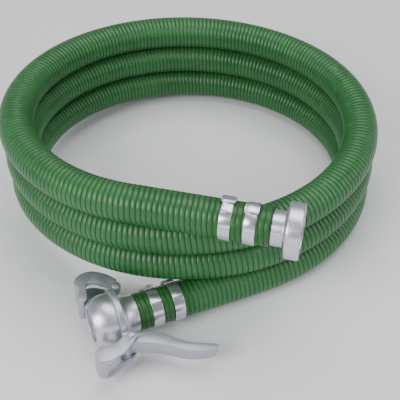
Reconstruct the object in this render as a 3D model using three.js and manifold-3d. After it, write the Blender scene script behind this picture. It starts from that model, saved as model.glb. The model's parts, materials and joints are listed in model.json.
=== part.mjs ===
// Coiled suction hose with a lever-lock ball coupling: a ribbed hose in three turns,
// a cup half on its upper end, a ball half with a lever closure ring on its lower end,
// and two buckled band clamps behind each half. Millimetres, +Z up, resting on Z = 0.

import * as THREE from "three";
import { mergeVertices } from "three/addons/utils/BufferGeometryUtils.js";
import Module from "manifold-3d";

const manifold = await Module();
manifold.setup();

// Driving dimensions of the hose and its coil
const hoseOuter = 60;
const hoseBore = 51;
const coilWidth = 608;
const coilDepth = 560;
const turnCount = 3;
const turnGap = 1.2;
const upperTailLength = 207;
const lowerTailSpare = 2;
const upperTailAngle = 16.4;
const lowerTailAngle = 23.6;
const tailBend = 0.4;
const tailSteps = 6;
const dropStart = -10;
const dropSweep = 240;
const hoseSides = 14;
const stepsPerTurn = 32;

// Driving dimensions that both coupling halves share
const waterBore = 44;
const insertLength = 75;
const fitGap = 0.3;
const roundSides = 32;

// Cup half
const shankDiameter = 54;
const shankLength = 20.6;
const collarDiameter = 84.6;
const collarWidth = 23;
const collarRounding = 4;
const mouthDiameter = 76;
const mouthDepth = 17.6;
const sealThickness = 6.4;

// Ball half
const ballDiameter = 85;
const ballRimDiameter = 65;
const rimBore = 54;
const ballStep = 0.75;
const rimDepth = 6;
const coneLength = 26.2;
const coneSwell = 1.2;
const coneFlare = 3.4;
const beadDiameter = 74.6;
const beadWidth = 2;
const seatDiameter = 73;

// Closure ring, its ears and its pins
const ringOuter = 94.5;
const ringWidth = 10;
const ringClearance = 0.3;
const ringChamfer = 1.2;
const pinDiameter = 8;
const pinClearance = 0.3;
const pinHeadDiameter = 13;
const pinHeadHeight = 2;
const leverPinAt = { ahead: 5, aside: 58.6 };
const clawPinAt = { ahead: -7, aside: 53 };
const farPinAt = { ahead: -14, aside: 44 };
const nearEarHeight = 35.6;
const nearEarThickness = 3.5;
const farEarThickness = 6;
const earRadius = 8;
const earSink = 7;
const earPinGap = 0.9;

// Claws, with their outlines as shares of reach and rise from the middle of the eye
const clawHeight = 46.4;
const cheekThickness = 5;
const cheekGap = 0.3;
const clawEyeRadius = 8.5;
const clawFrontThickness = 8;
const nearClawReach = 64;
const nearClawRise = 19;
const farClawReach = 62.7;
const farClawRise = 42.6;
const nearClawOpening = 17.3;
const nearClawPlaces = [
  [0.13, -0.3], [0.36, -0.09], [0.52, -0.03], [0.65, -0.08], [0.7, -0.45], [0.9, -0.45],
  [0.98, -0.27], [1, 0.43], [0.875, 0.88], [0.7, 0.99], [0.4, 0.99], [0.09, 0.63], [-0.06, 0.4],
];
const farClawPlaces = [
  [0.13, 0.04], [0.31, 0.21], [0.43, 0.38], [0.63, 0.46], [0.725, 0.31], [0.74, 0.1],
  [0.8, -0.23], [0.95, -0.23], [1, -0.09], [0.95, 0.085], [0.885, 0.35], [0.94, 0.59],
  [0.895, 0.82], [0.7, 1], [0.41, 0.99], [0.1, 0.67], [-0.1, 0.28],
];

// Lever, with its course as shares of length, spread and root width from the claw pin
const leverLength = 119.5;
const leverSpread = 56.5;
const leverRootWidth = 20.4;
const leverRootHeight = 27;
const leverTipHeight = 20;
const leverCourse = [
  [0, 0, 0.78], [0.21, 0.13, 1], [0.37, 0.32, 0.98], [0.5, 0.55, 0.78],
  [0.64, 0.78, 0.73], [0.81, 0.93, 0.66], [0.95, 1, 0.4],
];

// Band clamps
const bandWidth = 17.5;
const bandThickness = 1.4;
const innerBandPlace = 30;
const outerBandPlace = 66;
const buckleWidth = 22;
const buckleLength = 19;
const buckleHeight = 4.6;
const buckleChamfer = 1.5;
const upperInnerLean = 5;
const upperOuterLean = -18;
const lowerLean = 75;

// Sizes that follow from the driving ones
const hoseRadius = hoseOuter / 2;
const turnRise = hoseOuter + turnGap;
const halfTurnStep = Math.PI / hoseSides;
const insertRadius = (hoseBore / 2) * Math.cos(halfTurnStep) - fitGap;
const boreRadius = waterBore / 2;
const ringBack = coneLength + fitGap;
const ringFront = ringBack + ringWidth;
const ringMiddle = (ringBack + ringFront) / 2;
const cheekInside = clawHeight / 2 - cheekThickness;
const lowerTailClimb = ringOuter / 2 - hoseRadius;
const lowerTailLength = outerBandPlace + buckleWidth / 2 + clampRun() + lowerTailSpare;

const materials = {
  hose: new THREE.MeshStandardMaterial({ color: 0x4a8a50, roughness: 0.4, metalness: 0 }),
  steel: new THREE.MeshStandardMaterial({ color: 0xb9b9c6, roughness: 0.35, metalness: 1 }),
  band: new THREE.MeshStandardMaterial({ color: 0xc4c4d0, roughness: 0.3, metalness: 1 }),
  rubber: new THREE.MeshStandardMaterial({ color: 0x1c1c1e, roughness: 0.6, metalness: 0 }),
};

// How far along the lower tail its outer clamp has to be to pass under the turn above
function clampRun() {
  const clampReach = hoseRadius + 2 * fitGap + bandThickness + buckleHeight;
  const apart = hoseRadius + clampReach + fitGap;
  const drop = turnRise - lowerTailClimb / 3;
  const aside = Math.sqrt(Math.max(0, apart * apart - drop * drop));
  return Math.sqrt(aside * (coilWidth + aside));
}

// Helpers that turn geometry into solids, join or cut them, and turn them back

function solidOf(geometry) {
  const bare = geometry.clone();
  bare.deleteAttribute("normal");
  bare.deleteAttribute("uv");
  const merged = mergeVertices(bare, 1e-4);
  return new manifold.Manifold(new manifold.Mesh({
    numProp: 3,
    vertProperties: new Float32Array(merged.attributes.position.array),
    triVerts: new Uint32Array(merged.index.array),
  }));
}

function geometryOf(solid) {
  const mesh = solid.getMesh();
  const geometry = new THREE.BufferGeometry();
  geometry.setAttribute("position", new THREE.BufferAttribute(mesh.vertProperties, 3));
  geometry.setIndex(new THREE.BufferAttribute(mesh.triVerts, 1));
  geometry.computeVertexNormals();
  return geometry;
}

// A profile of [radius, place along X] pairs, turned about the X axis
function turned(profile, sides = roundSides) {
  const points = profile.map(([radius, along]) => new THREE.Vector2(radius, along));
  if (THREE.ShapeUtils.area(points) < 0) points.reverse();
  const closed = profile[0][0] > 0 ? [...points, points[0]] : points;
  return new THREE.LatheGeometry(closed, sides).rotateZ(-Math.PI / 2);
}

// An outline in the XY plane, raised from one height to another
function raised(shape, low, high, curveSegments = 6) {
  const settings = { depth: high - low, bevelEnabled: false, curveSegments };
  return new THREE.ExtrudeGeometry(shape, settings).translate(0, 0, low);
}

// A round cutter along Z
function pinHole(x, y, diameter, height) {
  const shape = new THREE.Shape().absarc(x, y, diameter / 2, 0, 2 * Math.PI, false);
  return solidOf(raised(shape, -height, height, 10));
}

// A pin along Z with two flat heads
function headedPin(x, y, reach) {
  const shaft = pinDiameter / 2;
  const head = pinHeadDiameter / 2;
  const top = reach + pinHeadHeight;
  const profile = [
    [0, -top], [head - 1, -top], [head, -top + 1], [head, -reach], [shaft, -reach],
    [shaft, reach], [head, reach], [head, top - 1], [head - 1, top], [0, top],
  ];
  return turned(profile, 20).rotateY(-Math.PI / 2).translate(x, y, 0);
}

// The hose's centre line

function smoothStep(share) {
  const part = THREE.MathUtils.clamp(share, 0, 1);
  return part * part * (3 - 2 * part);
}

// How many turns lie below the hose, at an angle from the coil's front
function turnsBelow(degrees) {
  let below = 0;
  for (let turn = 0; turn < turnCount; turn += 1) {
    below += 1 - smoothStep((degrees - dropStart - 360 * turn) / dropSweep);
  }
  return below;
}

function coilPoint(degrees) {
  const angle = THREE.MathUtils.degToRad(-90 - degrees);
  return new THREE.Vector3(
    (coilWidth / 2) * Math.cos(angle),
    (coilDepth / 2) * Math.sin(angle),
    hoseRadius + turnRise * turnsBelow(degrees),
  );
}

function levelDirection(degrees, sense) {
  const angle = THREE.MathUtils.degToRad(-90 - degrees);
  const direction = new THREE.Vector3(
    (coilWidth / 2) * Math.sin(angle), (-coilDepth / 2) * Math.cos(angle), 0,
  );
  return direction.normalize().multiplyScalar(sense);
}

// The lower tail climbs from the floor until the closure ring just touches it
function lowerTailRise(share) {
  const half = tailBend / 2;
  const eased = share < tailBend ? share * share / (4 * half) : share - half;
  const atRing = 1 + ringMiddle / lowerTailLength - half;
  return lowerTailClimb * eased / atRing;
}

function hoseRoute() {
  const first = upperTailAngle;
  const last = 360 * turnCount - lowerTailAngle;
  const points = [];
  for (let step = tailSteps; step > 0; step -= 1) {
    const run = upperTailLength * step / tailSteps;
    points.push(coilPoint(first).addScaledVector(levelDirection(first, -1), run));
  }
  const coilSteps = Math.round(stepsPerTurn * (last - first) / 360);
  for (let step = 0; step <= coilSteps; step += 1) {
    points.push(coilPoint(first + (last - first) * step / coilSteps));
  }
  for (let step = 1; step <= tailSteps; step += 1) {
    const share = step / tailSteps;
    const point = coilPoint(last).addScaledVector(levelDirection(last, 1), lowerTailLength * share);
    point.z += lowerTailRise(share);
    points.push(point);
  }
  const route = new THREE.CatmullRomCurve3(points, false, "centripetal");
  route.arcLengthDivisions = 1600;
  return route;
}

function hose(route) {
  const section = new THREE.Shape();
  const bore = new THREE.Path();
  for (let side = 0; side < hoseSides; side += 1) {
    const angle = 2 * halfTurnStep * (side + 0.5);
    const corner = new THREE.Vector2(Math.cos(angle), Math.sin(angle));
    const draw = side === 0 ? "moveTo" : "lineTo";
    section[draw](hoseRadius * corner.x, hoseRadius * corner.y);
    bore[draw](hoseBore / 2 * corner.x, hoseBore / 2 * corner.y);
  }
  section.closePath();
  bore.closePath();
  section.holes.push(bore);
  const turns = turnCount + (upperTailLength + lowerTailLength) / (Math.PI * coilWidth);
  const steps = Math.round(turns * stepsPerTurn);
  return new THREE.ExtrudeGeometry(section, { steps, extrudePath: route, bevelEnabled: false });
}

// Coupling halves, each with its hose end at X = 0 and its mouth towards +X

function cupHalf() {
  const shank = shankDiameter / 2;
  const collar = collarDiameter / 2;
  const mouth = mouthDiameter / 2;
  const back = shankLength;
  const front = shankLength + collarWidth;
  const floor = front - mouthDepth;
  const profile = [
    [insertRadius, -insertLength], [insertRadius, fitGap], [shank, fitGap],
    [shank, back - 2], [shank + 2, back], [collar - collarRounding, back],
    [collar - 0.3 * collarRounding, back + 0.3 * collarRounding],
    [collar, back + collarRounding], [collar, front - collarRounding],
    [collar - 0.3 * collarRounding, front - 0.3 * collarRounding],
    [collar - collarRounding / 2, front], [mouth, front], [mouth, floor],
    [boreRadius, floor], [boreRadius, -insertLength],
  ];
  return turned(profile);
}

function sealRing() {
  const radius = sealThickness / 2;
  const middle = mouthDiameter / 2 - fitGap - radius;
  const along = shankLength + collarWidth - mouthDepth + fitGap + radius;
  const profile = [];
  for (let step = 0; step < 8; step += 1) {
    const angle = step * Math.PI / 4;
    profile.push([middle + radius * Math.cos(angle), along + radius * Math.sin(angle)]);
  }
  return turned(profile);
}

function ballHalf() {
  const ball = ballDiameter / 2;
  const rim = ballRimDiameter / 2;
  const seat = seatDiameter / 2;
  const bead = beadDiameter / 2;
  const shoulder = ringFront + fitGap;
  const backRadius = ball - ballStep;
  const centre = shoulder + Math.sqrt(ball * ball - backRadius * backRadius);
  const rimReach = Math.sqrt(ball * ball - rim * rim);
  const profile = [
    [insertRadius, -insertLength], [insertRadius, fitGap], [hoseRadius, fitGap],
    [hoseRadius, 0.2 * coneLength], [hoseRadius + coneSwell, 0.5 * coneLength],
    [hoseRadius + coneFlare, 0.75 * coneLength], [bead, coneLength - beadWidth],
    [bead, coneLength],
    [seat, coneLength], [seat, shoulder],
  ];
  const from = Math.acos(-(centre - shoulder) / ball);
  const to = Math.acos(rimReach / ball);
  for (let step = 0; step <= 8; step += 1) {
    const angle = from + (to - from) * step / 8;
    profile.push([ball * Math.sin(angle), centre + ball * Math.cos(angle)]);
  }
  const rimAt = centre + rimReach;
  profile.push([rimBore / 2, rimAt], [rimBore / 2, rimAt - rimDepth]);
  profile.push([boreRadius, rimAt - rimBore / 2 + rimDepth], [boreRadius, -insertLength]);
  return turned(profile);
}

function earOutline(at, root, side) {
  const y = side * at.aside;
  const from = ringMiddle + root.from;
  const to = ringMiddle + root.to;
  return new THREE.Shape([
    new THREE.Vector2(from, side * root.edge), new THREE.Vector2(to, side * root.edge),
    new THREE.Vector2(to, y), new THREE.Vector2(from, y),
  ]);
}

function earPair(at, root, thickness, height, side) {
  const shape = earOutline(at, root, side);
  const x = ringMiddle + at.ahead;
  const y = side * at.aside;
  const hole = pinHole(x, y, pinDiameter + 2 * pinClearance, height);
  const plates = [];
  for (const end of [-1, 1]) {
    const inner = end * (height / 2 - thickness);
    const outer = end * height / 2;
    const low = Math.min(inner, outer);
    const high = Math.max(inner, outer);
    const eye = new THREE.Shape().absarc(x, y, earRadius, 0, 2 * Math.PI, false);
    const plate = solidOf(raised(shape, low, high)).add(solidOf(raised(eye, low, high, 12)));
    plates.push(plate.subtract(hole));
  }
  return plates;
}

function closureRing() {
  const inner = seatDiameter / 2 + ringClearance;
  const outer = ringOuter / 2;
  let ring = solidOf(turned([
    [inner, ringBack], [outer - ringChamfer, ringBack], [outer, ringBack + ringChamfer],
    [outer, ringFront - ringChamfer], [outer - ringChamfer, ringFront], [inner, ringFront],
  ], 40));
  // A flat on the near side, under the lever's root
  const flat = clawPinAt.aside - earRadius - fitGap;
  const above = new THREE.BoxGeometry(4 * ringWidth, outer, 2 * outer);
  ring = ring.subtract(solidOf(above.translate(ringMiddle, flat + outer / 2, 0)));
  const nearRoot = {
    from: clawPinAt.ahead + pinDiameter / 2 + earPinGap, to: ringWidth / 2 - fitGap, edge: outer - earSink,
  };
  const farRoot = { from: farPinAt.ahead, to: ringWidth / 3, edge: farPinAt.aside - earRadius };
  const near = earPair(leverPinAt, nearRoot, nearEarThickness, nearEarHeight, 1);
  const far = earPair(farPinAt, farRoot, farEarThickness, nearEarHeight, -1);
  for (const plate of [...near, ...far]) ring = ring.add(plate);
  return geometryOf(ring);
}

// A claw lies with its eye at the origin, its arm arched outward (+Y) and its nose turned in
function claw(places, reach, rise) {
  const half = clawHeight / 2;
  const corners = places.map(([along, out]) => new THREE.Vector2(along * reach, out * rise));
  const edge = new THREE.SplineCurve(corners).getPoints(3 * corners.length);
  const eye = new THREE.Shape().absarc(0, 0, clawEyeRadius, 0, 2 * Math.PI, false);
  const arm = solidOf(raised(new THREE.Shape(edge), -half, half));
  const body = arm.add(solidOf(raised(eye, -half, half, 12)));
  const gapReach = reach - clawFrontThickness;
  const gap = new THREE.BoxGeometry(2 * gapReach, 4 * reach, 2 * cheekInside);
  const hole = pinHole(0, 0, pinDiameter + 2 * pinClearance, clawHeight);
  return body.subtract(solidOf(gap)).subtract(hole);
}

function nearClaw() {
  const turn = THREE.MathUtils.degToRad(nearClawOpening);
  const geometry = geometryOf(claw(nearClawPlaces, nearClawReach, nearClawRise));
  geometry.rotateZ(turn);
  return geometry.translate(ringMiddle + clawPinAt.ahead, clawPinAt.aside, 0);
}

function farClaw() {
  const geometry = geometryOf(claw(farClawPlaces, farClawReach, farClawRise));
  geometry.rotateX(Math.PI);
  return geometry.translate(ringMiddle + farPinAt.ahead, -farPinAt.aside, 0);
}

// The lever's outline: both sides of its course, from the claw pin to its tip and back
function leverOutline(link) {
  const places = leverCourse.map(([along, out]) => (
    new THREE.Vector2(link.x - along * leverLength, link.y + out * leverSpread)
  ));
  const course = new THREE.SplineCurve(places);
  const outer = [];
  const inner = [];
  const steps = 4 * (leverCourse.length - 1);
  for (let step = 0; step <= steps; step += 1) {
    const before = Math.min(Math.floor(step / 4), leverCourse.length - 2);
    const share = step / 4 - before;
    const width = THREE.MathUtils.lerp(leverCourse[before][2], leverCourse[before + 1][2], share);
    const at = course.getPoint(step / steps);
    const along = course.getTangent(step / steps);
    const reach = width * leverRootWidth / 2;
    outer.push(new THREE.Vector2(at.x + along.y * reach, at.y - along.x * reach));
    inner.push(new THREE.Vector2(at.x - along.y * reach, at.y + along.x * reach));
  }
  const tip = new THREE.Vector2(link.x - leverLength, link.y + leverSpread);
  return new THREE.Shape([...outer, tip, ...inner.reverse()]);
}

// The lever: an eye on the lever pin, an eye on the claw pin, and a curved handle
function lever() {
  const pivot = { x: ringMiddle + leverPinAt.ahead, y: leverPinAt.aside };
  const link = { x: ringMiddle + clawPinAt.ahead, y: clawPinAt.aside };
  const half = leverRootHeight / 2;
  const thin = leverTipHeight / 2;
  let body = solidOf(raised(leverOutline(link), -half, half));
  const bridge = new THREE.Shape([
    new THREE.Vector2(link.x, link.y - earRadius), new THREE.Vector2(pivot.x, pivot.y - earRadius),
    new THREE.Vector2(pivot.x, pivot.y + earRadius), new THREE.Vector2(link.x, link.y + earRadius),
  ]);
  body = body.add(solidOf(raised(bridge, -half, half)));
  for (const eye of [pivot, link]) {
    const round = new THREE.Shape().absarc(eye.x, eye.y, earRadius, 0, 2 * Math.PI, false);
    body = body.add(solidOf(raised(round, -half, half, 12)));
  }
  const front = pivot.x + 2 * earRadius;
  const taperStart = link.x - leverLength / 3;
  const back = link.x - leverLength - earRadius;
  const taper = new THREE.Shape([
    new THREE.Vector2(front, -half), new THREE.Vector2(front, half),
    new THREE.Vector2(taperStart, half), new THREE.Vector2(back, thin),
    new THREE.Vector2(back, -thin), new THREE.Vector2(taperStart, -half),
  ]);
  const reach = link.y + 2 * leverSpread;
  body = body.intersect(solidOf(raised(taper, -reach, reach).rotateX(Math.PI / 2)));
  for (const eye of [pivot, link]) {
    body = body.subtract(pinHole(eye.x, eye.y, pinDiameter + 2 * pinClearance, leverRootHeight));
  }
  return geometryOf(body);
}

function leverPin() {
  const reach = nearEarHeight / 2 - 0.2;
  const radius = pinDiameter / 2;
  const profile = [[0, -reach], [radius, -reach], [radius, reach], [0, reach]];
  const pin = turned(profile, 20).rotateY(-Math.PI / 2);
  return pin.translate(ringMiddle + leverPinAt.ahead, leverPinAt.aside, 0);
}

// Band clamps

function bandClamp(place) {
  const inner = hoseRadius + fitGap;
  const outer = inner + bandThickness;
  const low = -place - bandWidth / 2;
  const high = -place + bandWidth / 2;
  return turned([[inner, low], [outer, low], [outer, high], [inner, high]], roundSides);
}

function bandBuckle(place, lean) {
  const inner = hoseRadius + 2 * fitGap + bandThickness;
  const outer = inner + buckleHeight;
  const half = buckleLength / 2 / inner;
  const shape = new THREE.Shape();
  shape.absarc(0, 0, inner, Math.PI / 2 + half, Math.PI / 2 - half, true);
  const shoulder = outer - buckleChamfer;
  shape.lineTo(shoulder * Math.sin(half), shoulder * Math.cos(half));
  shape.absarc(0, 0, outer, Math.PI / 2 - 0.85 * half, Math.PI / 2 + 0.85 * half, false);
  shape.lineTo(-shoulder * Math.sin(half), shoulder * Math.cos(half));
  shape.closePath();
  const block = raised(shape, -buckleWidth / 2, buckleWidth / 2, 5);
  block.rotateX(Math.PI / 2).rotateZ(Math.PI / 2);
  block.rotateX(THREE.MathUtils.degToRad(lean));
  return block.translate(-place, 0, 0);
}

// Assembly

function piece(name, geometry, material) {
  const mesh = new THREE.Mesh(geometry, material);
  mesh.name = name;
  return mesh;
}

function clampPieces(name, place, lean) {
  return [
    piece(`${name}_band`, bandClamp(place), materials.band),
    piece(`${name}_buckle`, bandBuckle(place, lean), materials.band),
  ];
}

// A group at one end of the hose, its +X along the hose and outward
function endGroup(route, share) {
  const outward = route.getTangentAt(share).multiplyScalar(share === 0 ? -1 : 1);
  const aside = new THREE.Vector3(0, 0, 1).cross(outward).normalize();
  const up = new THREE.Vector3().crossVectors(outward, aside);
  const group = new THREE.Group();
  group.setRotationFromMatrix(new THREE.Matrix4().makeBasis(outward, aside, up));
  group.position.copy(route.getPointAt(share));
  return group;
}

function upperEnd(route) {
  const group = endGroup(route, 0);
  group.add(piece("cup_half", cupHalf(), materials.steel));
  group.add(piece("seal_ring", sealRing(), materials.rubber));
  group.add(...clampPieces("upper_inner_clamp", innerBandPlace, upperInnerLean));
  group.add(...clampPieces("upper_outer_clamp", outerBandPlace, upperOuterLean));
  return group;
}

function lowerEnd(route) {
  const group = endGroup(route, 1);
  const pinReach = clawHeight / 2 + cheekGap;
  group.add(piece("ball_half", ballHalf(), materials.steel));
  group.add(piece("closure_ring", closureRing(), materials.steel));
  group.add(piece("far_claw", farClaw(), materials.steel));
  group.add(piece("near_claw", nearClaw(), materials.steel));
  group.add(piece("lever", lever(), materials.steel));
  group.add(piece("lever_pin", leverPin(), materials.steel));
  const clawPin = headedPin(ringMiddle + clawPinAt.ahead, clawPinAt.aside, pinReach);
  group.add(piece("claw_pin", clawPin, materials.steel));
  const farPin = headedPin(ringMiddle + farPinAt.ahead, -farPinAt.aside, pinReach);
  group.add(piece("far_pin", farPin, materials.steel));
  group.add(...clampPieces("lower_inner_clamp", innerBandPlace, lowerLean));
  group.add(...clampPieces("lower_outer_clamp", outerBandPlace, lowerLean));
  return group;
}

const route = hoseRoute();
const suctionHose = new THREE.Group();
suctionHose.add(piece("hose", hose(route), materials.hose));
suctionHose.add(upperEnd(route));
suctionHose.add(lowerEnd(route));

// The origin is the middle of the whole part's footprint, on the floor
suctionHose.updateMatrixWorld(true);
const extent = new THREE.Box3().setFromObject(suctionHose, true);
const middle = extent.getCenter(new THREE.Vector3());
suctionHose.position.set(-middle.x, -middle.y, -extent.min.z);

export default suctionHose;
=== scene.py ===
import json
import math

import bpy
import numpy as np
from mathutils import Matrix, Vector

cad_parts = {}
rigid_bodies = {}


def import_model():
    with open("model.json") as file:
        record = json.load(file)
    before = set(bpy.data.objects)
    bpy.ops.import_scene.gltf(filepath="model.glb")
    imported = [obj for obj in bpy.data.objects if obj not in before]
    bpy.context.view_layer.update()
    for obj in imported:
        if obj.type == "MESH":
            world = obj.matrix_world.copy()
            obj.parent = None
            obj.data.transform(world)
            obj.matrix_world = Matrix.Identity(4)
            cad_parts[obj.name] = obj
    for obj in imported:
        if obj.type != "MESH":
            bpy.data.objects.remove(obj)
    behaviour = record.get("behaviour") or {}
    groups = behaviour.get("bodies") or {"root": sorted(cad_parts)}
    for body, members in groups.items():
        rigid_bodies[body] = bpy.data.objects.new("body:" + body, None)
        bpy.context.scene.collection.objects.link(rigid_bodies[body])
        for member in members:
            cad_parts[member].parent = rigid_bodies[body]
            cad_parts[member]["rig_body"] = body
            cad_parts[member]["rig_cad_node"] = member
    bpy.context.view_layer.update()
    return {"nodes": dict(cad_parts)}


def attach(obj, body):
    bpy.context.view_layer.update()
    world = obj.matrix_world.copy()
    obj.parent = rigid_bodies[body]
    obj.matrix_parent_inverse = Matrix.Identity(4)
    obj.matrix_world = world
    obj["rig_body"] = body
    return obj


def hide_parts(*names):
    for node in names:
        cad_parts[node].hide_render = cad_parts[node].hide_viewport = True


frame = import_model()
scene = bpy.context.scene
MM = 0.001

# Sizes of the hose and its coil, as in the part's source, in millimetres
hose_outer = 60
hose_bore = 51
coil_width = 608
coil_depth = 560
turn_rise = 61.2
turn_count = 3
upper_tail_length = 207
lower_tail_length = 234.427
upper_tail_angle = 16.4
lower_tail_angle = 23.6
drop_start = -10
drop_sweep = 240
lower_tail_bend = 0.4
lower_tail_climb = 17.25
ring_middle = 31.5
coil_centre = (-0.231, 71.284, 0.16)

# Sizes of the couplings, in millimetres from the hose's end
insert_length = 75
inner_band_place = 30
outer_band_place = 66
claw_half_height = 23.2
cheek_gap = 0.3
lever_pivot_at = (5, 58.6)
claw_pin_at = (-7, 53)
far_pin_at = (-14, -44)
pin_radius = 4
pin_head = 13
pin_head_height = 2


# Camera, where the photograph was taken from, its reach in pixels of the photograph's width

camera_reach = 726.99
photo_width = 400


def add_camera():
    pitch, yaw, roll = 0.78891, 0.010839, -0.020585
    level_reach = math.cos(pitch)
    forward = Vector((math.sin(yaw) * level_reach, math.cos(yaw) * level_reach, -math.sin(pitch)))
    level = Vector((math.cos(yaw), -math.sin(yaw), 0))
    right = level * math.cos(roll) + level.cross(forward) * math.sin(roll)
    up = right.cross(forward)
    turn = Matrix((right, up, -forward)).transposed().to_4x4()
    bpy.ops.object.camera_add()
    camera = bpy.context.object
    camera.name = "photo_camera"
    camera.matrix_world = Matrix.Translation((0.002695, -0.958642, 0.983426)) @ turn
    camera.data.sensor_width = 36
    camera.data.lens = camera_reach / photo_width * camera.data.sensor_width
    scene.camera = camera


add_camera()


# The hose's centre line

def smooth_step(share):
    part = min(max(share, 0), 1)
    return part * part * (3 - 2 * part)


def coil_point(degrees):
    angle = math.radians(-90 - degrees)
    since_drop = [degrees - drop_start - 360 * turn for turn in range(turn_count)]
    below = sum(1 - smooth_step(since / drop_sweep) for since in since_drop)
    x = coil_width / 2 * math.cos(angle)
    y = coil_depth / 2 * math.sin(angle)
    return Vector((x, y, hose_outer / 2 + turn_rise * below)) + Vector(coil_centre)


def level_direction(degrees):
    angle = math.radians(-90 - degrees)
    return Vector((coil_width * math.sin(angle), -coil_depth * math.cos(angle), 0)).normalized()


def tail_rise(share):
    bend = lower_tail_bend
    eased = share * share / (2 * bend) if share < bend else share - bend / 2
    return lower_tail_climb * eased / (1 + ring_middle / lower_tail_length - bend / 2)


def hose_route():
    first, last = upper_tail_angle, 360 * turn_count - lower_tail_angle
    tail_steps, coil_steps = 40, 1400
    points = []
    for step in range(tail_steps, 0, -1):
        points.append(coil_point(first) - level_direction(first) * upper_tail_length * step / tail_steps)
    for step in range(coil_steps + 1):
        points.append(coil_point(first + (last - first) * step / coil_steps))
    for step in range(1, tail_steps + 1):
        point = coil_point(last) + level_direction(last) * lower_tail_length * step / tail_steps
        point.z += tail_rise(step / tail_steps)
        points.append(point)
    return np.array(points)


def end_frame(end, inner):
    outward = Vector(end - inner).normalized()
    aside = Vector((0, 0, 1)).cross(outward).normalized()
    turn = Matrix((outward, aside, outward.cross(aside))).transposed().to_4x4()
    return Matrix.Translation(Vector(end) * MM) @ turn


route = hose_route()
upper_end = end_frame(route[0], route[1])
lower_end = end_frame(route[-1], route[-2])
run = np.concatenate([[0], np.cumsum(np.linalg.norm(np.diff(route, axis=0), axis=1))])
hose_length = run[-1]


# Shared steps of modelling

def deselect():
    if bpy.context.object and bpy.context.object.mode != "OBJECT":
        bpy.ops.object.mode_set(mode="OBJECT")
    bpy.ops.object.select_all(action="DESELECT")


def only(piece):
    deselect()
    piece.select_set(True)
    bpy.context.view_layer.objects.active = piece


def edit_all():
    bpy.ops.object.mode_set(mode="EDIT")
    bpy.ops.mesh.select_all(action="SELECT")


def outward_faces():
    bpy.ops.mesh.select_all(action="SELECT")
    bpy.ops.mesh.remove_doubles(threshold=1e-6)
    bpy.ops.mesh.normals_make_consistent(inside=False)
    bpy.ops.object.mode_set(mode="OBJECT")


def put(piece, place):
    only(piece)
    piece.matrix_world = place @ piece.matrix_world
    bpy.ops.object.transform_apply(location=True, rotation=True, scale=True)


def soften(piece, width, angle=35, segments=2):
    only(piece)
    bevel = piece.modifiers.new("soft_edges", "BEVEL")
    bevel.width = width * MM
    bevel.segments = segments
    bevel.limit_method = "ANGLE"
    bevel.angle_limit = math.radians(angle)
    bpy.ops.object.modifier_apply(modifier=bevel.name)


def smooth(piece, angle=32):
    only(piece)
    bpy.ops.object.shade_smooth_by_angle(angle=math.radians(angle))


def join(pieces, name):
    only(pieces[0])
    for piece in pieces[1:]:
        piece.select_set(True)
    bpy.ops.object.join()
    pieces[0].name = name
    return pieces[0]


# A profile of (radius, place) corners, some with a rounding as a third value
def rounded(corners):
    points = []
    for index, corner in enumerate(corners):
        here = Vector(corner[:2])
        if len(corner) < 3:
            points.append(tuple(here))
            continue
        before = Vector(corners[index - 1][:2]) - here
        after = Vector(corners[(index + 1) % len(corners)][:2]) - here
        reach = min(corner[2], 0.49 * before.length, 0.49 * after.length)
        start = here + before.normalized() * reach
        end = here + after.normalized() * reach
        for step in range(6):
            share = step / 5
            bow = start.lerp(here, share).lerp(here.lerp(end, share), share)
            points.append(tuple(bow))
    return points


# A round piece, drawn out ring by ring along its own axis, which ends up along the frame's X
def turned(name, corners, place, sides=96, solid=False):
    profile = rounded(corners)
    radius, along = profile[0]
    deselect()
    bpy.ops.mesh.primitive_circle_add(vertices=sides, radius=radius * MM, location=(0, 0, along * MM))
    piece = bpy.context.object
    piece.name = name
    edit_all()
    for next_radius, next_along in profile[1:]:
        step = (0, 0, (next_along - along) * MM)
        bpy.ops.mesh.extrude_region_move(TRANSFORM_OT_translate={"value": step})
        grow = next_radius / radius
        bpy.ops.transform.resize(value=(grow, grow, 1), center_override=(0, 0, next_along * MM))
        radius, along = next_radius, next_along
    bpy.ops.mesh.select_all(action="SELECT")
    if solid:
        bpy.ops.mesh.fill_holes(sides=0)
    else:
        bpy.ops.mesh.region_to_loop()
        bpy.ops.mesh.bridge_edge_loops()
    outward_faces()
    put(piece, place @ Matrix.Rotation(math.pi / 2, 4, "Y"))
    return piece


# A bar with a rectangular section, bent round the frame's X axis
def bent_bar(name, place, along, width, inner, outer, start, sweep, steps):
    deselect()
    middle = (along * MM, 0, (inner + outer) / 2 * MM)
    bpy.ops.mesh.primitive_plane_add(size=1, location=middle, rotation=(math.pi / 2, 0, 0))
    piece = bpy.context.object
    piece.name = name
    edit_all()
    bpy.ops.transform.resize(value=(width * MM, 1, (outer - inner) * MM), center_override=middle)
    bpy.ops.mesh.spin(
        steps=steps, angle=math.radians(sweep), center=(along * MM, 0, 0), axis=(1, 0, 0),
        use_auto_merge=False,
    )
    outward_faces()
    put(piece, place @ Matrix.Rotation(math.radians(start), 4, "X"))
    return piece


# A rounded copy of a solid whose shape is right but whose edges are sharp
def rounded_copy(node, name, width, angle=40, segments=3):
    only(frame["nodes"][node])
    bpy.ops.object.duplicate()
    piece = bpy.context.object
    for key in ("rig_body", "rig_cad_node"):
        del piece[key]
    piece.parent = None
    piece.matrix_world = Matrix.Identity(4)
    piece.name = name
    edit_all()
    bpy.ops.mesh.remove_doubles(threshold=2e-6)
    bpy.ops.mesh.dissolve_limited(angle_limit=math.radians(1.5))
    bpy.ops.object.mode_set(mode="OBJECT")
    soften(piece, width, angle, segments)
    smooth(piece, 40)
    return piece


# Node groups for what more than one finish has

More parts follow.
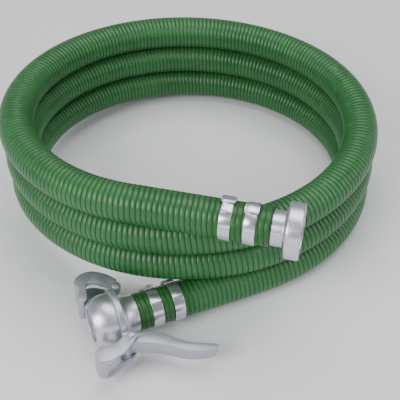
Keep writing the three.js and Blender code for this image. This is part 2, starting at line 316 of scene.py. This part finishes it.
def group(name, scale, outputs):
    tree = bpy.data.node_groups.new(name, "ShaderNodeTree")
    tree.interface.new_socket("Vector", in_out="INPUT", socket_type="NodeSocketVector")
    tree.interface.new_socket("Scale", in_out="INPUT", socket_type="NodeSocketFloat").default_value = scale
    for label in outputs:
        tree.interface.new_socket(label, in_out="OUTPUT", socket_type="NodeSocketFloat")
    entry = tree.nodes.new("NodeGroupInput")
    leave = tree.nodes.new("NodeGroupOutput")
    return tree, entry, leave


def attribute(tree, name):
    made = tree.nodes.new("ShaderNodeAttribute")
    made.attribute_name = name
    return made.outputs["Fac"]


def number(tree, operation, first, second=None):
    made = tree.nodes.new("ShaderNodeMath")
    made.operation = operation
    for index, value in enumerate((first, second)):
        if isinstance(value, (int, float)):
            made.inputs[index].default_value = value
        elif value is not None:
            tree.links.new(value, made.inputs[index])
    return made.outputs[0]


def noise(tree, vector, scale, detail, rough=0.5):
    made = tree.nodes.new("ShaderNodeTexNoise")
    made.inputs["Detail"].default_value = detail
    made.inputs["Roughness"].default_value = rough
    tree.links.new(vector, made.inputs["Vector"])
    if isinstance(scale, (int, float)):
        made.inputs["Scale"].default_value = scale
    else:
        tree.links.new(scale, made.inputs["Scale"])
    return made.outputs[0]


def between(tree, value, low, high, to_low=0.0, to_high=1.0):
    made = tree.nodes.new("ShaderNodeMapRange")
    made.interpolation_type = "SMOOTHSTEP"
    for label, amount in (("From Min", low), ("From Max", high), ("To Min", to_low), ("To Max", to_high)):
        made.inputs[label].default_value = amount
    tree.links.new(value, made.inputs["Value"])
    return made.outputs[0]


# Cloudy differences over a surface, large and small together
def mottle_group():
    tree, entry, leave = group("mottle", 20.0, ["Mask"])
    large = noise(tree, entry.outputs["Vector"], entry.outputs["Scale"], 3)
    finer = number(tree, "MULTIPLY", entry.outputs["Scale"], 5.5)
    small = noise(tree, entry.outputs["Vector"], finer, 4, 0.6)
    both = number(tree, "ADD", number(tree, "MULTIPLY", large, 0.65), number(tree, "MULTIPLY", small, 0.35))
    tree.links.new(between(tree, both, 0.3, 0.7), leave.inputs["Mask"])
    return tree


# Fine lines across a stretched direction, as left by a lathe, a brush or handling
def lines_group():
    tree, entry, leave = group("fine_lines", 400.0, ["Lines", "Scratches"])
    lines = noise(tree, entry.outputs["Vector"], entry.outputs["Scale"], 2, 0.7)
    tree.links.new(lines, leave.inputs["Lines"])
    coarser = number(tree, "MULTIPLY", entry.outputs["Scale"], 0.4)
    sparse = noise(tree, entry.outputs["Vector"], coarser, 5, 0.75)
    tree.links.new(between(tree, sparse, 0.6, 0.7), leave.inputs["Scratches"])
    return tree


# Dust that settles on what faces up and on what is close to the ground
def dust_group():
    tree, entry, leave = group("settled_dust", 60.0, ["Mask"])
    geometry = tree.nodes.new("ShaderNodeNewGeometry")
    split = tree.nodes.new("ShaderNodeSeparateXYZ")
    tree.links.new(geometry.outputs["Normal"], split.inputs[0])
    facing = between(tree, split.outputs["Z"], 0.2, 1.0)
    place = tree.nodes.new("ShaderNodeSeparateXYZ")
    tree.links.new(entry.outputs["Vector"], place.inputs[0])
    low = between(tree, place.outputs["Z"], 0.03, 0.0)
    where = number(tree, "MAXIMUM", number(tree, "MULTIPLY", facing, 0.6), low)
    specks = between(tree, noise(tree, entry.outputs["Vector"], entry.outputs["Scale"], 6, 0.7), 0.45, 0.75)
    tree.links.new(number(tree, "MULTIPLY", where, specks), leave.inputs["Mask"])
    return tree


mottle, fine_lines, settled_dust = mottle_group(), lines_group(), dust_group()


def new_finish(name, **settings):
    material = bpy.data.materials.new(name)
    material.use_nodes = True
    tree = material.node_tree
    shader = tree.nodes["Principled BSDF"]
    for label, value in settings.items():
        shader.inputs[label.replace("_", " ")].default_value = value
    coordinates = tree.nodes.new("ShaderNodeTexCoord").outputs["Object"]
    return material, tree, shader, coordinates


def placed_group(tree, which, vector, scale):
    made = tree.nodes.new("ShaderNodeGroup")
    made.node_tree = which
    made.inputs["Scale"].default_value = scale
    tree.links.new(vector, made.inputs["Vector"])
    return made


def faint(tree, mask, share):
    return number(tree, "MULTIPLY", mask, share)


def blended(tree, share, first, second):
    made = tree.nodes.new("ShaderNodeMix")
    made.data_type = "RGBA"
    for socket, colour in ((made.inputs[6], first), (made.inputs[7], second)):
        if isinstance(colour, tuple):
            socket.default_value = (*colour, 1)
        else:
            tree.links.new(colour, socket)
    tree.links.new(share, made.inputs[0])
    return made.outputs[2]


def bumped(tree, shader, height, depth, strength):
    made = tree.nodes.new("ShaderNodeBump")
    made.inputs["Distance"].default_value = depth * MM
    made.inputs["Strength"].default_value = strength
    tree.links.new(height, made.inputs["Height"])
    tree.links.new(made.outputs["Normal"], shader.inputs["Normal"])


# Stretches the pattern so that its lines run round the axis of one end, or along it
def aligned(tree, coordinates, place, stretch):
    turn = place.to_3x3().transposed().to_4x4()
    mapping = tree.nodes.new("ShaderNodeMapping")
    mapping.vector_type = "POINT"
    mapping.inputs["Rotation"].default_value = turn.to_euler()
    tree.links.new(coordinates, mapping.inputs["Vector"])
    stretched = tree.nodes.new("ShaderNodeMapping")
    stretched.inputs["Scale"].default_value = stretch
    tree.links.new(mapping.outputs[0], stretched.inputs["Vector"])
    return stretched.outputs[0]


# Metal with cloudy colour, fine lines, scratches and dust
def metal(name, place, stretch, colours, rough, lines_at, clouds_at, relief, metallic):
    material, tree, shader, coordinates = new_finish(name, Metallic=metallic)
    light, dark = colours
    clouds = placed_group(tree, mottle, coordinates, clouds_at)
    lines = placed_group(tree, fine_lines, aligned(tree, coordinates, place, stretch), lines_at)
    dust = placed_group(tree, settled_dust, coordinates, 80.0)
    base = blended(tree, clouds.outputs["Mask"], dark, light)
    darker = tuple(0.82 * c for c in light)
    streaked = blended(tree, faint(tree, lines.outputs["Lines"], 0.35), base, darker)
    dusty = blended(tree, faint(tree, dust.outputs["Mask"], 0.25), streaked, (0.42, 0.41, 0.4))
    tree.links.new(dusty, shader.inputs["Base Color"])
    cloudy = between(tree, clouds.outputs["Mask"], 0, 1, *rough)
    scratched = number(tree, "ADD", cloudy, faint(tree, lines.outputs["Scratches"], 0.12))
    matt = number(tree, "ADD", scratched, faint(tree, dust.outputs["Mask"], 0.15))
    tree.links.new(matt, shader.inputs["Roughness"])
    height = number(tree, "ADD", lines.outputs["Lines"], faint(tree, clouds.outputs["Mask"], 0.15))
    bumped(tree, shader, number(tree, "SUBTRACT", height, lines.outputs["Scratches"]), relief, 0.35)
    return material


# Green plastic with painted shade darkening the grooves, darker near the clamps, rubbed and a little dusty
def hose_finish():
    material, tree, shader, coordinates = new_finish(
        "ribbed_green_plastic", IOR=1.5, Coat_Roughness=0.2, Specular_IOR_Level=0.35,
    )
    groove = attribute(tree, "groove")
    cuff = attribute(tree, "cuff")
    clouds = placed_group(tree, mottle, coordinates, 9.0)
    lines = placed_group(tree, fine_lines, coordinates, 160.0)
    dust = placed_group(tree, settled_dust, coordinates, 70.0)
    green = blended(tree, clouds.outputs["Mask"], (0.02, 0.125, 0.03), (0.034, 0.17, 0.044))
    deep = blended(tree, cuff, green, (0.014, 0.115, 0.018))
    # Painted shade: the grooves are darkened nearly to black for the shade that falls in them
    ribbed = blended(tree, number(tree, "POWER", groove, 0.7), deep, (0.002, 0.014, 0.004))
    rubbed = blended(tree, faint(tree, lines.outputs["Scratches"], 0.18), ribbed, (0.2, 0.42, 0.2))
    dusty = blended(tree, faint(tree, dust.outputs["Mask"], 0.16), rubbed, (0.3, 0.31, 0.26))
    tree.links.new(dusty, shader.inputs["Base Color"])
    cloudy = between(tree, clouds.outputs["Mask"], 0, 1, 0.3, 0.42)
    scratched = number(tree, "ADD", cloudy, faint(tree, lines.outputs["Scratches"], 0.1))
    tree.links.new(number(tree, "ADD", scratched, faint(tree, groove, 0.4)), shader.inputs["Roughness"])
    crest = number(tree, "SUBTRACT", 1.0, groove)
    tree.links.new(faint(tree, crest, 0.12), shader.inputs["Coat Weight"])
    height = number(tree, "ADD", lines.outputs["Lines"], faint(tree, clouds.outputs["Mask"], 0.8))
    bumped(tree, shader, height, 0.12, 0.5)
    return material


def rubber_finish():
    material, tree, shader, coordinates = new_finish("seal_rubber", IOR=1.5)
    clouds = placed_group(tree, mottle, coordinates, 60.0)
    dust = placed_group(tree, settled_dust, coordinates, 120.0)
    black = blended(tree, clouds.outputs["Mask"], (0.012, 0.012, 0.013), (0.028, 0.028, 0.03))
    dusty = blended(tree, faint(tree, dust.outputs["Mask"], 0.3), black, (0.16, 0.155, 0.15))
    tree.links.new(dusty, shader.inputs["Base Color"])
    tree.links.new(between(tree, clouds.outputs["Mask"], 0, 1, 0.5, 0.72), shader.inputs["Roughness"])
    bumped(tree, shader, clouds.outputs["Mask"], 0.05, 0.6)
    return material


round_axis = (1.0, 0.03, 0.03)
every_way = (1.0, 1.0, 1.0)
cup_greys = ((0.66, 0.66, 0.73), (0.6, 0.6, 0.67))
ball_greys = ((0.66, 0.66, 0.72), (0.61, 0.61, 0.67))
forged_greys = ((0.49, 0.49, 0.555), (0.42, 0.42, 0.485))
ring_greys = ((0.57, 0.57, 0.64), (0.49, 0.49, 0.56))
band_greys = ((0.7, 0.7, 0.77), (0.64, 0.64, 0.71))


def band_finish(name, place):
    return metal(name, place, round_axis, band_greys, (0.18, 0.26), 1400.0, 25.0, 0.0006, 0.92)


green_plastic = hose_finish()
black_rubber = rubber_finish()
cup_steel = metal(
    "galvanised_cup", upper_end, round_axis, cup_greys, (0.26, 0.34), 1200.0, 30.0, 0.003, 0.9,
)
ball_steel = metal(
    "turned_ball", lower_end, round_axis, ball_greys, (0.3, 0.36), 1200.0, 30.0, 0.002, 0.9,
)
cast_steel = metal(
    "galvanised_forging", lower_end, every_way, forged_greys, (0.38, 0.48), 700.0, 60.0, 0.02, 0.75,
)
ring_steel = metal(
    "galvanised_ring", lower_end, round_axis, ring_greys, (0.32, 0.44), 900.0, 45.0, 0.004, 0.8,
)
upper_band_steel = band_finish("stainless_band_upper", upper_end)
lower_band_steel = band_finish("stainless_band_lower", lower_end)


def dress(piece, body, nodes, finish, angle=32):
    smooth(piece, angle)
    piece.data.materials.clear()
    piece.data.materials.append(finish)
    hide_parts(*nodes)
    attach(piece, body)
    return piece


# The ribbed hose: one spiral groove, four rows of points to a rib, over a plain bore

rib_pitch = 8.2
rib_rows = [(0.0, 29.15, 1.0), (0.1, 29.82, 0.1), (0.5, 30.0, 0.0), (0.9, 29.82, 0.1)]
hose_sides = 30
bore_rings = 180
cuff_length = 84
cut_radius = 29.6


def route_at(distance):
    place = np.stack([np.interp(distance, run, route[:, axis]) for axis in range(3)], axis=-1)
    ahead = np.stack([np.interp(distance + 2, run, route[:, axis]) for axis in range(3)], axis=-1)
    behind = np.stack([np.interp(distance - 2, run, route[:, axis]) for axis in range(3)], axis=-1)
    along = ahead - behind
    along /= np.linalg.norm(along, axis=-1, keepdims=True)
    aside = np.cross([0, 0, 1.0], along)
    aside /= np.linalg.norm(aside, axis=-1, keepdims=True)
    return place, aside, np.cross(along, aside)


def ring_points(distance, angle, radius):
    place, aside, up = route_at(distance)
    return place + radius[:, None] * (np.cos(angle)[:, None] * aside + np.sin(angle)[:, None] * up)


# Faces between the rows of a spiral, where the last side of a row meets the next rib's first
def spiral_faces(label):
    last_row = len(label) - 1
    faces = []
    for r in range(last_row):
        for s in range(hose_sides):
            if s + 1 < hose_sides:
                corners = [label[r, s], label[r, s + 1], label[r + 1, s + 1], label[r + 1, s]]
            elif r + 5 <= last_row:
                corners = [label[r, s], label[r + 4, 0], label[r + 5, 0], label[r + 1, s]]
            else:
                corners = [label[r, s], label[last_row, 0], label[last_row, 0], label[r + 1, s]]
            kept = [int(c) for i, c in enumerate(corners) if c != corners[i - 1]]
            if len(set(kept)) >= 3:
                faces.append(kept)
    return faces


# Faces of the bore, and of the cut at both ends
def bore_and_end_faces(first_bore, last_outside):
    last_bore = first_bore + (bore_rings - 1) * hose_sides
    faces = []
    for ring_start in range(first_bore, last_bore, hose_sides):
        for s in range(hose_sides):
            here, beside = ring_start + s, ring_start + (s + 1) % hose_sides
            faces.append([beside, here, here + hose_sides, beside + hose_sides])
    for s in range(hose_sides):
        t = (s + 1) % hose_sides
        faces.append([first_bore + s, first_bore + t, t, s])
        faces.append([last_outside + s, last_outside + t, last_bore + t, last_bore + s])
    return faces


def ribbed_hose():
    ribs = round(hose_length / rib_pitch)
    pitch = hose_length / ribs
    rows = 4 * (ribs + 1) + 1
    row, side = np.meshgrid(np.arange(rows), np.arange(hose_sides), indexing="ij")
    shares, radii, depths = np.array(rib_rows).T
    distance = pitch * (row // 4 + shares[row % 4] + side / hose_sides - 1)
    deep = depths[row % 4]
    to_end = np.minimum(distance, hose_length - distance)
    cuff = 1 - np.clip((to_end - cuff_length) / 12, 0, 1)
    squeezed = np.clip(1 - (to_end - cuff_length + 20) / 25, 0, 1)
    radius = radii[row % 4] + 0.45 * squeezed * deep
    before, beyond = distance <= 1e-6, distance >= hose_length - 1e-6
    distance = np.clip(distance, 0, hose_length)
    radius[before | beyond] = cut_radius
    angle = 2 * math.pi * side / hose_sides
    outside = ring_points(distance.ravel(), angle.ravel(), radius.ravel())
    bore_at = np.repeat(np.linspace(0, hose_length, bore_rings), hose_sides)
    bore_angle = np.tile(2 * math.pi * np.arange(hose_sides) / hose_sides, bore_rings)
    inside = ring_points(bore_at, bore_angle, np.full(len(bore_at), hose_bore / 2))
    label = np.arange(rows * hose_sides).reshape(rows, hose_sides)
    label = np.where(before, side, label)
    label = np.where(beyond, (rows - 1) * hose_sides + side, label)
    faces = spiral_faces(label) + bore_and_end_faces(len(outside), (rows - 1) * hose_sides)
    everything = np.vstack([outside, inside]) * MM
    used = np.unique(np.array([corner for face in faces for corner in face]))
    renumber = np.zeros(len(everything), int)
    renumber[used] = np.arange(len(used))
    mesh = bpy.data.meshes.new("ribbed_hose")
    kept_faces = [[int(renumber[corner]) for corner in face] for face in faces]
    mesh.from_pydata(everything[used].tolist(), [], kept_faces)
    # The groove share also masks the painted groove shade in the hose's finish
    for name, values in (("groove", deep.ravel()), ("cuff", cuff.ravel())):
        whole = np.concatenate([values, np.zeros(len(inside))])[used]
        mesh.attributes.new(name, "FLOAT", "POINT").data.foreach_set("value", whole.astype(np.float32))
    piece = bpy.data.objects.new("ribbed_hose", mesh)
    scene.collection.objects.link(piece)
    return piece


hose = ribbed_hose()
dress(hose, "hose_and_halves", ["hose"], green_plastic, 50)


# The cup half and its seal

cup_corners = [
    (24.3, -insert_length, 0.6), (24.3, 0.3), (27, 0.3, 0.4), (27, 18.2, 1.6), (30.5, 20.6, 0.8),
    (42.3, 20.6, 4.5), (42.3, 43.6, 3.2), (38, 43.6, 0.8), (38, 26, 1.2), (22, 26, 0.6),
    (22, -insert_length, 0.6),
]
cup = turned("cup_half_turned", cup_corners, upper_end)
dress(cup, "hose_and_halves", ["cup_half"], cup_steel)

seal_corners = [(31.4, 26.3, 1.0), (37.6, 26.3, 1.0), (37.6, 31, 1.0), (35.6, 32.6, 1.4), (31.8, 31.4, 1.4)]
seal = turned("lip_seal", seal_corners, upper_end)
dress(seal, "hose_and_halves", ["seal_ring"], black_rubber)

# The ball half

ball_radius = 42.5
ball_centre = 44.749
ball_corners = [
    (24.3, -insert_length, 0.6), (24.3, 0.3), (30, 0.3, 0.5), (30, 5.2, 3), (31.2, 13.1, 4), (33.4, 19.65, 3),
    (37.3, 24.2, 0.9), (37.3, 26.2, 0.6), (36.5, 26.2), (36.5, 36.8, 0.3),
]
for step in range(17):
    angle = math.radians(100.78 + (49.88 - 100.78) * step / 16)
    ball_corners.append((ball_radius * math.sin(angle), ball_centre + ball_radius * math.cos(angle)))
ball_corners += [
    (32, 72.135, 1.2), (27, 72.135, 1.5), (27, 66.135, 3), (22, 51.135, 6), (22, -insert_length, 0.6),
]
ball = turned("ball_half_turned", ball_corners, lower_end, 112)
dress(ball, "hose_and_halves", ["ball_half"], ball_steel)

# Closure ring, claws, lever and pins

ring = rounded_copy("closure_ring", "closure_ring_soft", 0.5, 40, 2)
dress(ring, "hose_and_halves", ["closure_ring"], ring_steel)

near = rounded_copy("near_claw", "near_claw_forged", 0.9)
dress(near, "near_claw", ["near_claw"], cast_steel, 40)

far = rounded_copy("far_claw", "far_claw_forged", 0.9)
dress(far, "far_claw", ["far_claw"], cast_steel, 40)

handle = rounded_copy("lever", "lever_forged", 1.2)
dress(handle, "lever", ["lever"], cast_steel, 40)


# Where a pin stands across the lower end, given from the middle of the closure ring
def pin_stand(at):
    ahead, aside = at
    place = Matrix.Translation(((ring_middle + ahead) * MM, aside * MM, 0))
    return lower_end @ place @ Matrix.Rotation(-math.pi / 2, 4, "Y")


def domed_pin(name, at):
    reach = claw_half_height + cheek_gap
    top = reach + pin_head_height
    head = pin_head / 2
    upper_half = [
        (pin_radius, reach), (head, reach, 0.2), (head, reach + 0.6, 0.5), (head - 1.2, top, 1.2),
        (0.4, top + 0.9),
    ]
    lower_half = [(radius, -along, *bow) for radius, along, *bow in reversed(upper_half)]
    return turned(name, lower_half + upper_half, pin_stand(at), 40, True)


claw_pin = domed_pin("claw_rivet", claw_pin_at)
dress(claw_pin, "lever", ["claw_pin"], cast_steel)

far_pin = domed_pin("far_rivet", far_pin_at)
dress(far_pin, "hose_and_halves", ["far_pin"], cast_steel)

pivot_corners = [(3.2, -17.6), (pin_radius, -17, 0.4), (pin_radius, 17, 0.4), (3.2, 17.6)]
lever_pin = turned("lever_pivot", pivot_corners, pin_stand(lever_pivot_at), 40, True)
dress(lever_pin, "hose_and_halves", ["lever_pin"], cast_steel)

# Band clamps: a strap with its end lapped over it, and a folded buckle

strap_inner = 30.3
strap_outer = 31.7
strap_half_width = 8.75


# A lean is how far the buckle is turned from the top, and the strap's end laps from it
def band_clamp(name, place, along, lean, finish):
    low, high = -along - strap_half_width, -along + strap_half_width
    corners = [(strap_inner, low), (strap_outer, low, 0.5), (strap_outer, high, 0.5), (strap_inner, high)]
    strap = turned(name + "_loop", corners, place)
    lap_inner, lap_outer = strap_outer + 0.02, strap_outer + 1.2
    lap = bent_bar(name + "_lap", place, -along, 16.6, lap_inner, lap_outer, lean + 44, 52, 20)
    soften(lap, 0.4)
    whole = join([strap, lap], name + "_strap")
    dress(whole, "hose_and_halves", [name + "_band"], finish)
    block = bent_bar(name + "_block", place, -along, 21, 32.9, 36, lean + 14, 28, 10)
    soften(block, 0.9)
    ears = []
    for end in (-1, 1):
        ear = bent_bar(name + "_ear", place, -along + end * 9.6, 2.8, 32, 36.6, lean + 9, 18, 8)
        soften(ear, 0.7)
        ears.append(ear)
    tail = bent_bar(name + "_tail", place, -along, 15.4, 35.6, 36.5, lean + 12, 24, 10)
    soften(tail, 0.35)
    buckle = join([block, *ears, tail], name + "_folded_buckle")
    dress(buckle, "hose_and_halves", [name + "_buckle"], finish)
    return whole, buckle


band_clamp("upper_inner_clamp", upper_end, inner_band_place, 5, upper_band_steel)
band_clamp("upper_outer_clamp", upper_end, outer_band_place, -18, upper_band_steel)
lower_clamps = [
    *band_clamp("lower_inner_clamp", lower_end, inner_band_place, 75, lower_band_steel),
    *band_clamp("lower_outer_clamp", lower_end, outer_band_place, 75, lower_band_steel),
]

# Floor and light

def add_floor():
    deselect()
    bpy.ops.mesh.primitive_plane_add(size=12, location=(0, 0, -0.0003))
    floor = bpy.context.object
    floor.name = "studio_floor"
    material, tree, shader, coordinates = new_finish("pale_floor", Roughness=0.85)
    clouds = placed_group(tree, mottle, coordinates, 3.0)
    pale = blended(tree, clouds.outputs["Mask"], (0.78, 0.78, 0.79), (0.81, 0.81, 0.82))
    tree.links.new(pale, shader.inputs["Base Color"])
    floor.data.materials.append(material)


def add_softbox(name, place, size, power):
    bpy.ops.object.light_add(type="AREA", location=place)
    lamp = bpy.context.object
    lamp.name = name
    lamp.data.shape = "RECTANGLE"
    lamp.data.size, lamp.data.size_y = size
    lamp.data.energy = power
    towards = Vector((0, 0, 0.1)) - Vector(place)
    lamp.rotation_euler = towards.to_track_quat("-Z", "Y").to_euler()


add_floor()
add_softbox("key_softbox", (-1.5, -1.4, 1.7), (1.4, 1.4), 50)
add_softbox("top_softbox", (0.3, 0.5, 2.4), (2.2, 1.6), 40)
add_softbox("low_front_softbox", (0.1, -2.0, 0.45), (3.2, 0.55), 8)
add_softbox("side_softbox", (2.0, -0.6, 1.2), (1.2, 1.4), 16)
scene.world = bpy.data.worlds.new("studio")
scene.world.use_nodes = True
scene.world.node_tree.nodes["Background"].inputs["Color"].default_value = (0.93, 0.95, 1.0, 1)
scene.world.node_tree.nodes["Background"].inputs["Strength"].default_value = 0.36
